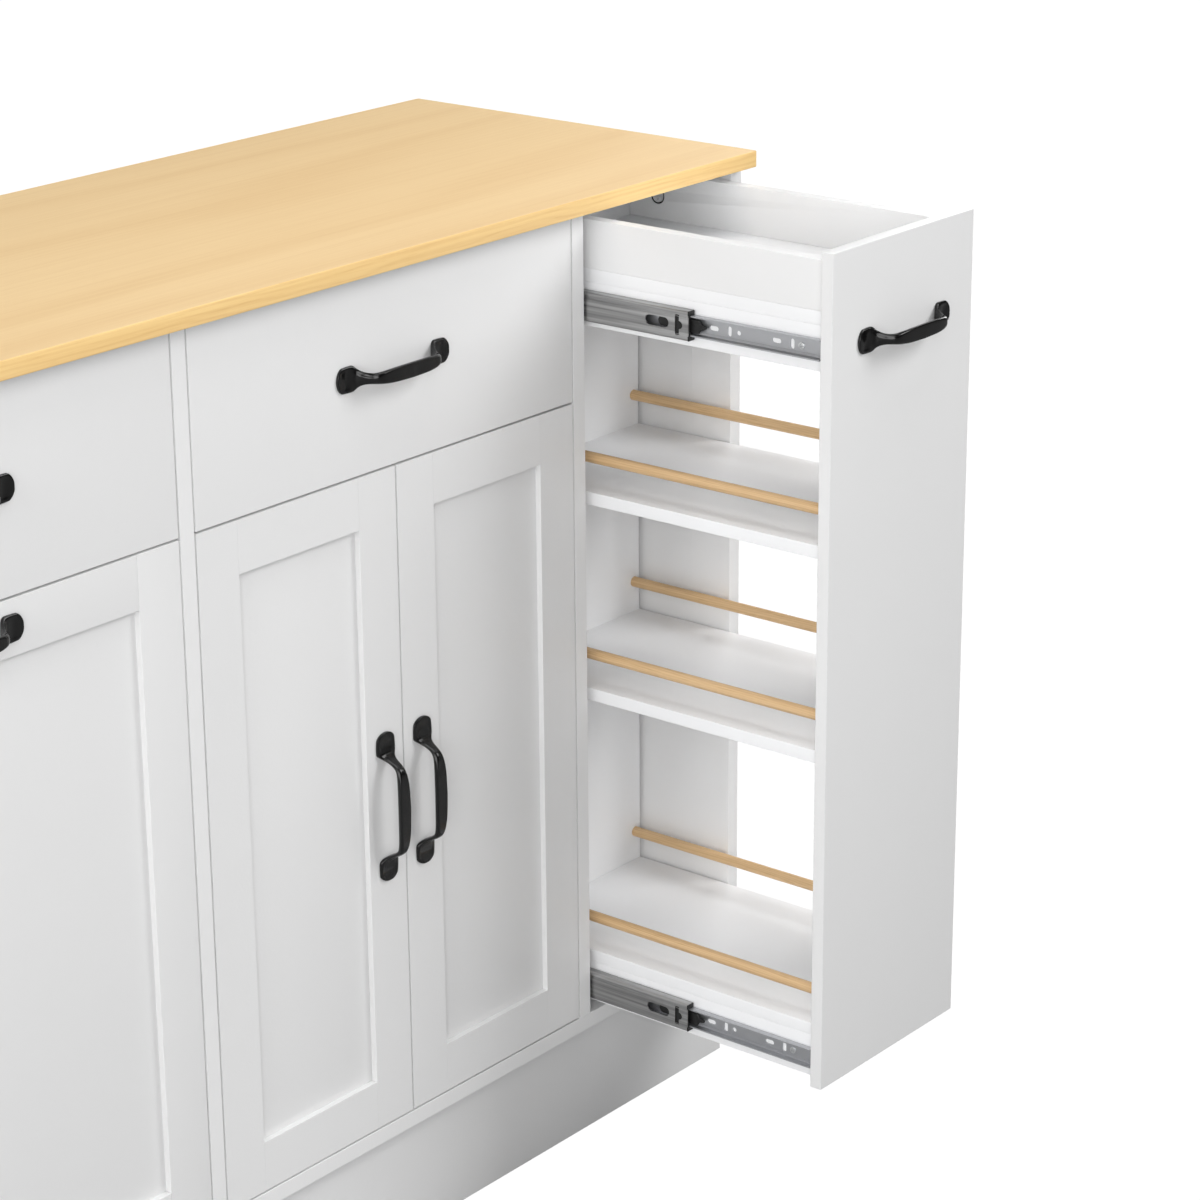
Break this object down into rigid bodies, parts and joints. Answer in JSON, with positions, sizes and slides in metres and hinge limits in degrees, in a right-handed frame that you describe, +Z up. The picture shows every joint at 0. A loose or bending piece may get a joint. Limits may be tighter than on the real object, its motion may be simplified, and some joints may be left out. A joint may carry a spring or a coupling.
{
  "type": "kitchen island",
  "caption": "White kitchen island with a light wood worktop, drawers, a pull-out caddy behind a framed front, hinged framed doors and a pull-out shelf rack on telescopic slides.",
  "frame": {"origin": "on the floor, on the lower edge of the middle plinth brace, midway along the worktop and midway across it", "axes": "+X to the right along the front, +Y to the back, +Z up"},
  "size_m": [1.211, 0.683, 0.92],
  "materials": {
    "worktop_laminate": "satin maple laminate with a darker front band",
    "white_board": "satin white lacquered board",
    "thin_white_board": "matt white-faced hardboard",
    "plain_wood": "sanded plain wood",
    "black_metal": "satin black powder coat",
    "slide_steel": "cold-rolled, zinc plated",
    "plated_steel": "bright zinc plated",
    "black_plastic": "moulded"
  },
  "bodies": {
    "root": {"worktop": "worktop_laminate", "side_panel_left": "white_board", "side_panel_right": "white_board", "divider_left": "white_board", "divider_right": "white_board", "bottom_board": "white_board", "plinth_front": "white_board", "plinth_back": "white_board", "plinth_braces": "white_board", "back_panels": "thin_white_board", "carcass_rails": "white_board", "shelf": "white_board", "carcass_fittings": "plated_steel", "slide_cabinet_members": "slide_steel", "hinge_arms": "plated_steel"},
    "rack": {"rack_front": "white_board", "rack_back": "white_board", "rack_tray_walls": "white_board", "rack_tray_board": "white_board", "rack_rails": "white_board", "rack_shelf_upper": "white_board", "rack_shelf_middle": "white_board", "rack_shelf_bottom": "white_board", "rack_rods": "plain_wood", "rack_pull": "black_metal", "rack_fittings": "plated_steel", "rack_slide_inners": "slide_steel"},
    "rack_slide": {"rack_slide_mids": "slide_steel", "rack_slide_clips": "black_plastic"},
    "rack_lever_upper": {"rack_lever_upper": "black_plastic"},
    "rack_lever_lower": {"rack_lever_lower": "black_plastic"},
    "drawer_left": {"drawer_left_front": "white_board", "drawer_left_sides": "white_board", "drawer_left_back": "white_board", "drawer_left_bottom": "thin_white_board", "drawer_left_pull": "black_metal", "drawer_left_slide_inners": "slide_steel"},
    "drawer_left_slide": {"drawer_left_slide_mids": "slide_steel"},
    "drawer_right": {"drawer_right_front": "white_board", "drawer_right_sides": "white_board", "drawer_right_back": "white_board", "drawer_right_bottom": "thin_white_board", "drawer_right_pull": "black_metal", "drawer_right_slide_inners": "slide_steel"},
    "drawer_right_slide": {"drawer_right_slide_mids": "slide_steel"},
    "caddy": {"caddy_door_frame": "white_board", "caddy_door_panel": "white_board", "caddy_base": "white_board", "caddy_walls": "white_board", "caddy_pull": "black_metal", "caddy_slide_inners": "slide_steel"},
    "caddy_slide": {"caddy_slide_mids": "slide_steel"},
    "door_left": {"door_left_frame": "white_board", "door_left_panel": "white_board", "door_left_pull": "black_metal", "door_left_hinge_cups": "plated_steel"},
    "door_right": {"door_right_frame": "white_board", "door_right_panel": "white_board", "door_right_pull": "black_metal", "door_right_hinge_cups": "plated_steel"}
  },
  "joints": [
    {"name": "rack_pull_out", "type": "slide", "parent": "root", "child": "rack", "axis": [0, -1, 0], "range_m": [-0.264, 0.086]},
    {"name": "rack_slide_run", "type": "slide", "parent": "root", "child": "rack_slide", "axis": [0, -1, 0], "range_m": [-0.132, 0.043]},
    {"name": "rack_lever_upper_press", "type": "hinge", "parent": "rack", "child": "rack_lever_upper", "pos_m": [0.38185, -0.2885, 0.817], "axis": [1, 0, 0], "range_deg": [-4, 4], "stiffness_Nm_per_rad": 0.05},
    {"name": "rack_lever_lower_press", "type": "hinge", "parent": "rack", "child": "rack_lever_lower", "pos_m": [0.38185, -0.2885, 0.161], "axis": [1, 0, 0], "range_deg": [-4, 4], "stiffness_Nm_per_rad": 0.05},
    {"name": "drawer_left_pull_out", "type": "slide", "parent": "root", "child": "drawer_left", "axis": [0, -1, 0], "range_m": [0, 0.35]},
    {"name": "drawer_left_slide_run", "type": "slide", "parent": "root", "child": "drawer_left_slide", "axis": [0, -1, 0], "range_m": [0, 0.175]},
    {"name": "drawer_right_pull_out", "type": "slide", "parent": "root", "child": "drawer_right", "axis": [0, -1, 0], "range_m": [0, 0.35]},
    {"name": "drawer_right_slide_run", "type": "slide", "parent": "root", "child": "drawer_right_slide", "axis": [0, -1, 0], "range_m": [0, 0.175]},
    {"name": "caddy_pull_out", "type": "slide", "parent": "root", "child": "caddy", "axis": [0, -1, 0], "range_m": [0, 0.35]},
    {"name": "caddy_slide_run", "type": "slide", "parent": "root", "child": "caddy_slide", "axis": [0, -1, 0], "range_m": [0, 0.175]},
    {"name": "door_left_swing", "type": "hinge", "parent": "root", "child": "door_left", "pos_m": [-0.1065, -0.189, 0.4345], "axis": [0, 0, 1], "range_deg": [-90, 0]},
    {"name": "door_right_swing", "type": "hinge", "parent": "root", "child": "door_right", "pos_m": [0.3595, -0.189, 0.4345], "axis": [0, 0, -1], "range_deg": [-90, 0]}
  ],
  "couplings": [
    {"joint": "rack_slide_run", "follows": "rack_pull_out", "ratio": 0.5},
    {"joint": "drawer_left_slide_run", "follows": "drawer_left_pull_out", "ratio": 0.5},
    {"joint": "drawer_right_slide_run", "follows": "drawer_right_pull_out", "ratio": 0.5},
    {"joint": "caddy_slide_run", "follows": "caddy_pull_out", "ratio": 0.5}
  ]
}
